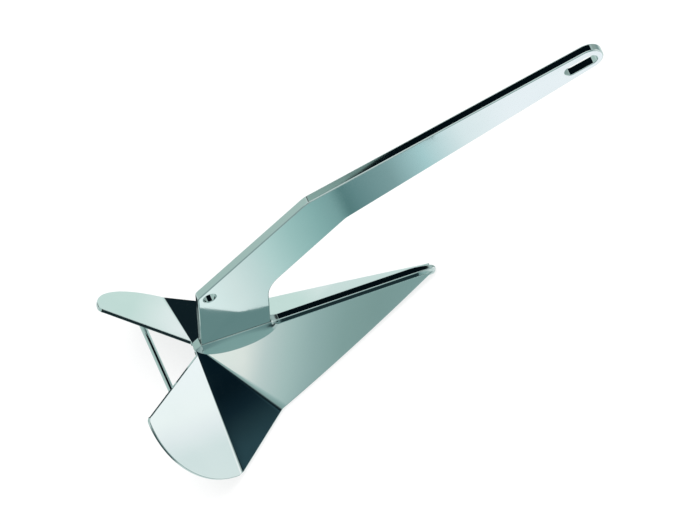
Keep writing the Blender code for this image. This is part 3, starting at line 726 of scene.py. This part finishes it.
tie = make_tie_bar()
piece("tie_bar_rod", tie.reshape(-1, 3), skin(*tie.shape[:2]), MIRROR, ["tie_bar"])
for collar_name, collar_side in (("port", 1), ("starboard", -1)):
    collar = make_collar(collar_side)
    piece(f"tie_bar_collar_{collar_name}", collar.reshape(-1, 3), skin(*collar.shape[:2], closed=True),
          WELD, [f"tie_bar_weld_{collar_name}"], grid_normals(collar, True).reshape(-1, 3))

# %% [markdown]
# Under the fluke the seams are left as welded. A bead is a bulging strip whose height rises and
# falls every few millimetres, and each ripple is swept back in the middle like a row of coins.

# %% Weld beads underneath
RIPPLE, RIPPLE_HEIGHT = 3.2 * MM, 0.28 * MM
PLATE_DEPTH = PLATE * math.hypot(1, WING_DROP)


def underside(y):
    """Height of the front facets' lower face at y, which falls steadily outboard."""
    return -WING_DROP * y - PLATE_DEPTH


def make_bead(x, first, last, root, bulge):
    """Strip from the line first to the line last, bulging away from the line root."""
    s = np.linspace(0, 1, 9)[None, :, None]
    middle = (first + last) / 2
    away = middle - root
    away /= np.linalg.norm(away, axis=1)[:, None]
    control = (middle + away * bulge)[:, None]
    strip = first[:, None] * (1 - s) ** 2 + 2 * s * (1 - s) * control + last[:, None] * s**2
    phase = (x[:, None] / RIPPLE + 0.9 * (2 * s[..., 0] - 1) ** 2) % 1.0
    lift = RIPPLE_HEIGHT * np.sin(math.pi * s[..., 0]) * (1 - phase) ** 0.7
    strip = strip + away[:, None] * lift[..., None]
    loops = np.concatenate([strip, root[:, None]], axis=1)
    xs = np.repeat(x[:, None, None], loops.shape[1], 1)
    return np.concatenate([xs, loops], axis=2)


def ridge_bead(side):
    """Seam from the bar's lower edge out to the wing's underside."""
    x = np.arange(0.008, 0.362, RIPPLE / 8)
    toe = SEAM_Y + 0.0065
    same = np.ones(len(x))
    first = np.column_stack([same * SEAM_Y, same * -BAR_DEPTH * 0.985])
    last = np.column_stack([same * toe, same * (underside(toe) - 0.3 * MM)])
    root = np.column_stack([same * SEAM_Y, same * (underside(SEAM_Y) - 0.4 * MM)])
    return make_bead(x, first, last, root, 0.4 * MM) * np.array([1, side, 1])


COVER_BACK, COVER_FRONT, COVER_INSET = 0.236, 0.350, 0.007


def cover_level(x):
    """Height of the ballast cover's lower face at x, above the plane of the wing edges."""
    front = np.array([LEADING_TIP_X, underside(SEAM_Y)])
    back = np.array([LOWER_CORNER[0], underside(LOWER_CORNER[1])])
    return front[1] + (x - front[0]) * (front[1] - back[1]) / (front[0] - back[0]) + COVER_INSET


def cover_bead(side):
    """Seam from the edge of the ballast cover out to the wing's underside."""
    x = np.arange(COVER_BACK, COVER_FRONT, RIPPLE / 8)
    level = cover_level(x) - 0.3 * MM
    corner = -(level + PLATE_DEPTH) / WING_DROP - 0.45 * MM
    toe = corner + 0.0035
    first = np.column_stack([corner - 0.005, level])
    last = np.column_stack([toe, underside(toe) - 0.45 * MM])
    root = np.column_stack([corner, level])
    return make_bead(x, first, last, root, 0.3 * MM) * np.array([1, side, 1])


for bead_name, bead_side in (("port", 1), ("starboard", -1)):
    seam = ridge_bead(bead_side)
    piece(f"ridge_bead_{bead_name}", seam.reshape(-1, 3), skin(*seam.shape[:2]), BEAD,
          [f"ridge_weld_{bead_name}"])
    seam = cover_bead(bead_side)
    piece(f"cover_bead_{bead_name}", seam.reshape(-1, 3), skin(*seam.shape[:2]), BEAD,
          [f"cover_weld_{bead_name}"])

# %% Finishes on the pieces that stay as packed
for node, finish in (("ballast_cover", SATIN), ("ballast_end_plate", SATIN), ("nose_ballast", CASTING)):
    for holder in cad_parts[node].material_slots:
        holder.material = finish
    print("kept from the frame:", node, [m.material.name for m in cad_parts[node].material_slots])

# %% [markdown]
# A mirror is only as good as what it sees. The world is white to the camera and plain to the
# floor, but polished metal sees a studio: pale walls, a few black flags that give each facet its
# own tone, and a dark ceiling. Each zone is a round patch of sky with a soft edge, found from the
# angle between the ray and the patch's centre.

# %% Studio seen by the metal
def direction(bearing, height):
    """Unit vector at a bearing from straight ahead of -Y towards +X, and a height, in degrees."""
    b, h = math.radians(bearing), math.radians(height)
    return (math.sin(b) * math.cos(h), -math.cos(b) * math.cos(h), math.sin(h))


ZONES = [
    # bearing, height, full within, gone beyond, colour
    (130, -12, 10, 30, (0.24, 0.33, 0.33)),
    (-40, -8, 8, 34, (0.30, 0.40, 0.40)),
    (80, -4, 14, 26, (1.0, 1.0, 1.0)),
    (20, 29, 14, 24, (0.30, 0.42, 0.41)),
    (9, -3, 11, 20, (0.25, 0.40, 0.39)),
    (1, -30, 14, 22, (0.175, 0.285, 0.286)),
    (53, 30, 9, 15, (0.006, 0.016, 0.022)),
    (-30, 39, 9, 16, (0.010, 0.022, 0.025)),
    (172, -33, 20, 32, (0.68, 0.80, 0.78)),
    (167, -18, 7, 11, (0.006, 0.014, 0.018)),
    (-168, -20, 7, 12, (0.02, 0.035, 0.04)),
    (-125, 28, 18, 32, (0.43, 0.56, 0.53)),
    (124, 4, 9, 17, (0.30, 0.38, 0.36)),
    (143, 50, 11, 17, (0.001, 0.004, 0.006)),
    (134, 39, 10, 14, (0.001, 0.004, 0.006)),
    (172, 60, 11, 15, (0.001, 0.004, 0.006)),
    (-164, 59, 9, 13, (0.001, 0.004, 0.006)),
    (-70, -20, 14, 26, (0.05, 0.08, 0.085)),
    (-60, 20, 8, 30, (0.20, 0.28, 0.28)),
]
world = bpy.data.worlds.new("studio")
bpy.context.scene.world = world
world.use_nodes = True
wn, wl = world.node_tree.nodes, world.node_tree.links
wn.clear()
ray = wn.new("ShaderNodeTexCoord").outputs["Generated"]
split = wn.new("ShaderNodeSeparateXYZ")
wl.new(ray, split.inputs[0])
base = wn.new("ShaderNodeValToRGB")
height = wn.new("ShaderNodeMapRange")
height.inputs["From Min"].default_value = -1.0
wl.new(split.outputs["Z"], height.inputs["Value"])
wl.new(height.outputs["Result"], base.inputs["Fac"])
stops = base.color_ramp.elements
stops[0].color = (0.70, 0.78, 0.77, 1)
stops[1].color = (0.72, 0.80, 0.79, 1)
for at, colour in ((0.35, (0.48, 0.58, 0.57, 1)), (0.49, (0.66, 0.75, 0.74, 1)),
                   (0.60, (0.36, 0.46, 0.45, 1)), (0.80, (0.45, 0.55, 0.54, 1))):
    stops.new(at).color = colour
sky = base.outputs["Color"]
for bearing, up_angle, full, gone, colour in ZONES:
    near = wn.new("ShaderNodeVectorMath")
    near.operation = "DOT_PRODUCT"
    near.inputs[1].default_value = direction(bearing, up_angle)
    wl.new(ray, near.inputs[0])
    fade = wn.new("ShaderNodeMapRange")
    fade.interpolation_type = "SMOOTHSTEP"
    fade.inputs["From Min"].default_value = math.cos(math.radians(gone))
    fade.inputs["From Max"].default_value = math.cos(math.radians(full))
    wl.new(near.outputs["Value"], fade.inputs["Value"])
    mix = wn.new("ShaderNodeMix")
    mix.data_type = "RGBA"
    mix.inputs["B"].default_value = (*colour, 1)
    wl.new(fade.outputs["Result"], mix.inputs["Factor"])
    wl.new(sky, mix.inputs["A"])
    sky = mix.outputs["Result"]
path = wn.new("ShaderNodeLightPath")
white = wn.new("ShaderNodeMix")
white.data_type = "RGBA"
white.inputs["B"].default_value = (1, 1, 1, 1)
plain = wn.new("ShaderNodeMath")
plain.operation = "MAXIMUM"
wl.new(path.outputs["Is Camera Ray"], plain.inputs[0])
wl.new(path.outputs["Is Diffuse Ray"], plain.inputs[1])
wl.new(plain.outputs["Value"], white.inputs["Factor"])
wl.new(sky, white.inputs["A"])
back = wn.new("ShaderNodeBackground")
wl.new(white.outputs["Result"], back.inputs["Color"])
wl.new(back.outputs["Background"], wn.new("ShaderNodeOutputWorld").inputs["Surface"])
print("studio zones:", len(ZONES))

# %% [markdown]
# Flat metal shows one even tone under a far-off sky, so its slow changes of tone come from cards
# hung close by. Rays from a facet leave side by side along r = 2 (n . c) n - c, with n its normal
# and c the way to the camera. A card square to r, graded along the facet's own direction g,
# therefore lays that grading on the facet without distortion.

# %% Cards near the metal
NEAR = np.array([1, -1, 1])


def in_place(points):
    """Points of the anchor's own frame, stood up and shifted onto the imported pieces."""
    return stand(np.asarray(points, float)) + PLACE


def facing_up(first, second):
    """Unit normal of a facet from two directions in it, turned to the standing pose."""
    n = stand(unit(np.cross(first, second)))
    return n * np.sign(n[2])


def graded_card(name, facet, normal, grade, stops_along, distance, margin=0.02):
    """A glowing card where a facet's reflection looks, graded in metres along the facet."""
    c = axes[2]
    r = 2 * (normal @ c) * normal - c
    middle = facet.mean(axis=0)
    flat_on = facet - ((facet - middle) @ r)[:, None] * r
    wider = flat_on + margin * (flat_on - middle) / np.linalg.norm(flat_on - middle, axis=1)[:, None]
    e1 = unit(grade - (grade @ r) * r)
    scale = grade @ e1
    mesh = bpy.data.meshes.new(name)
    mesh.from_pydata((wider + distance * r).tolist(), [], [tuple(range(len(facet)))])
    made = bpy.data.objects.new(name, mesh)
    bpy.context.scene.collection.objects.link(made)
    finish = bpy.data.materials.new(name)
    finish.use_nodes = True
    nodes, links = finish.node_tree.nodes, finish.node_tree.links
    nodes.clear()
    along = nodes.new("ShaderNodeVectorMath")
    along.operation = "DOT_PRODUCT"
    along.inputs[1].default_value = e1.tolist()
    links.new(nodes.new("ShaderNodeTexCoord").outputs["Object"], along.inputs[0])
    low, high = stops_along[0][0], stops_along[-1][0]
    run = nodes.new("ShaderNodeMapRange")
    run.inputs["From Min"].default_value = float(facet[0] @ e1 + low * scale)
    run.inputs["From Max"].default_value = float(facet[0] @ e1 + high * scale)
    links.new(along.outputs["Value"], run.inputs["Value"])
    ramp = nodes.new("ShaderNodeValToRGB")
    links.new(run.outputs["Result"], ramp.inputs["Fac"])
    marks = ramp.color_ramp.elements
    marks[0].color = (*stops_along[0][1], 1)
    marks[1].color = (*stops_along[-1][1], 1)
    for at, colour in stops_along[1:-1]:
        marks.new((at - low) / (high - low)).color = (*colour, 1)
    glow = nodes.new("ShaderNodeEmission")
    links.new(ramp.outputs["Color"], glow.inputs["Color"])
    links.new(glow.outputs["Emission"], nodes.new("ShaderNodeOutputMaterial").inputs["Surface"])
    mesh.materials.append(finish)
    made.visible_camera = made.visible_diffuse = made.visible_shadow = False
    made.visible_transmission = made.visible_volume_scatter = False
    return made


tip = np.array([LEADING_TIP_X, SEAM_Y, -WING_DROP * SEAM_Y])
across = unit(np.array([0, 1, -WING_DROP]))
FRONT_TONES = [(0.04, (0.90, 0.92, 0.88)), (0.085, (0.86, 0.865, 0.83)), (0.119, (0.585, 0.67, 0.664)),
               (0.16, (0.44, 0.571, 0.557)), (0.20, (0.338, 0.468, 0.462)), (0.25, (0.265, 0.393, 0.381)),
               (0.30, (0.239, 0.361, 0.35)), (0.42, (0.244, 0.371, 0.371))]
MIDDLE_TONES = [(0.05, (0.002, 0.009, 0.015)), (0.10, (0.002, 0.008, 0.013)),
                (0.137, (0.006, 0.018, 0.027)), (0.165, (0.016, 0.039, 0.049)),
                (0.207, (0.028, 0.066, 0.082))]
EAR_TONES = [(0.0, (1.07, 1.06, 1.09)), (0.09, (1.03, 1.04, 1.04)), (0.12, (0.94, 0.955, 0.976)),
             (0.16, (0.78, 0.856, 0.858)), (0.20, (0.80, 0.87, 0.87))]
FAR_EAR_TONES = [(0.0, (0.96, 0.965, 0.985)), (0.06, (0.83, 0.90, 0.893)), (0.12, (0.644, 0.798, 0.757))]
SHANK_TONES = [(-0.29, (0.856, 0.955, 0.948)), (-0.24, (0.763, 0.856, 0.849)),
               (-0.20, (0.644, 0.772, 0.765)), (-0.16, (0.523, 0.709, 0.694)),
               (-0.11, (0.381, 0.585, 0.571)), (-0.06, (0.279, 0.475, 0.467)),
               (-0.025, (0.226, 0.393, 0.392)), (-0.003, (0.105, 0.222, 0.224)),
               (0.02, (0.146, 0.274, 0.281)), (0.085, (0.236, 0.377, 0.388)),
               (0.151, (0.455, 0.666, 0.690)), (0.23, (0.85, 0.918, 0.948)), (0.32, (0.99, 1.0, 1.05))]
wing_front = in_place(np.array([APEX, [0.42, 0, 0], tip, LOWER_CORNER]) * NEAR)
wing_middle = in_place(np.array([APEX, LOWER_CORNER, REAR_CORNER]) * NEAR)
ear_patch = np.array([EAR_ROOT, REAR_CORNER, REAR_CORNER + (EAR_BACK - EAR_ROOT) * 0.8,
                      EAR_BACK + (EAR_BACK - EAR_ROOT) * 0.15])
shank_patch = np.array([[0.0, -0.0075, 0.46], [-0.42, -0.0075, 0.46], [-0.42, -0.0075, 0.10],
                        [0.0, -0.0075, 0.10], [0.52, -0.0075, 0.26], [0.52, -0.0075, 0.46]])
front_up = facing_up(RIDGE_WAY, across * NEAR)
graded_card("front_card", wing_front, front_up, stand(unit(RIDGE_WAY + 0.5 * across * NEAR)),
            FRONT_TONES, 1.0)
graded_card("middle_card", wing_middle, facing_up(FOLD_1 * NEAR, FOLD_2 * NEAR),
            stand(unit(0.4 * LOWER_CORNER + 0.6 * REAR_CORNER - APEX) * NEAR), MIDDLE_TONES, 1.4)
graded_card("ear_card", in_place(ear_patch * NEAR), facing_up(FOLD_2 * NEAR, (EAR_BACK - EAR_ROOT) * NEAR),
            stand(FOLD_2 * NEAR), EAR_TONES, 1.0)
graded_card("far_ear_card", in_place(ear_patch), facing_up(FOLD_2, EAR_BACK - EAR_ROOT),
            stand(unit(EAR_BACK - EAR_ROOT)), FAR_EAR_TONES, 0.9)
graded_card("shank_card", shank_patch, np.array([0.0, -1.0, 0.0]), np.array([1.0, 0.0, 0.0]),
            SHANK_TONES, 1.1, 0.01)

flank_way = unit(np.array([0, BAR_HALF - BAR_TOP_HALF, -WING_DROP * BAR_HALF])) * NEAR
edge = np.array([0, -BAR_TOP_HALF, 0])
flank_top, flank_low = edge - 0.030 * flank_way, edge + 0.060 * flank_way
flank = in_place([flank_top + [0.142, 0, 0], flank_top + [0.48, 0, 0], flank_low + [0.48, 0, 0],
                  flank_low + [0.142, 0, 0]])
DARK = (0.012, 0.028, 0.032)
graded_card("flank_card", flank, facing_up(RIDGE_WAY, flank_way), stand(RIDGE_WAY), [(0, DARK), (0.3, DARK)],
            0.42, 0.004)
ring_top = outer[np.argmax(outer[:, 1] - 0.345 * outer[:, 0])]
spine_way = unit(np.array([ring_top[0] - KNEE_TOP[0], 0, ring_top[1] - KNEE_TOP[1]]))
spine_up = stand([-spine_way[2], 0, spine_way[0]])
knee = np.array([KNEE_TOP[0], 0, KNEE_TOP[1]])
wedge = in_place([knee + spine_way * along + [0, side, 0] for along, side in
                  ((-0.03, 0.010), (-0.03, -0.010), (0.026, -0.010), (0.172, 0.010))])
graded_card("spine_card", wedge, spine_up, stand(spine_way),
            [(0.0, (0.33, 0.46, 0.43)), (0.11, (0.22, 0.33, 0.31)), (0.21, (0.10, 0.17, 0.16))], 0.3, 0.001)

# %% Floor and lamp
floor_mesh = bpy.data.meshes.new("floor")
FLOOR_REACH, FLOOR_GLOW = 30.0, 0.72
floor_mesh.from_pydata([(i * FLOOR_REACH, j * FLOOR_REACH, 0) for i, j in
                        ((-1, -1), (1, -1), (1, 1), (-1, 1))], [], [(0, 1, 2, 3)])
floor = bpy.data.objects.new("floor", floor_mesh)
bpy.context.scene.collection.objects.link(floor)
paper = bpy.data.materials.new("white_paper")
paper.use_nodes = True
pn, pl = paper.node_tree.nodes, paper.node_tree.links
pn.clear()
matte = pn.new("ShaderNodeBsdfDiffuse")
matte.inputs["Color"].default_value = (1, 1, 1, 1)
glow = pn.new("ShaderNodeEmission")
glow.inputs["Color"].default_value = (1, 1, 1, 1)
blend = pn.new("ShaderNodeMixShader")
blend.inputs["Fac"].default_value = FLOOR_GLOW
pl.new(matte.outputs["BSDF"], blend.inputs[1])
pl.new(glow.outputs["Emission"], blend.inputs[2])
pl.new(blend.outputs["Shader"], pn.new("ShaderNodeOutputMaterial").inputs["Surface"])
floor_mesh.materials.append(paper)
floor.visible_glossy = False

lamp_data = bpy.data.lights.new("soft_lamp", "AREA")
lamp_data.shape = "DISK"
lamp_data.size = 1.6
lamp_data.energy = 26.0
lamp = bpy.data.objects.new("soft_lamp", lamp_data)
lamp.location = (-0.6, 0.5, 2.4)
lamp.rotation_euler = Vector((0.6, -0.5, -2.4)).to_track_quat("-Z", "Y").to_euler()
lamp.visible_glossy = False
bpy.context.scene.collection.objects.link(lamp)
bpy.context.scene.view_settings.view_transform = "Standard"
print("floor and lamp ready")
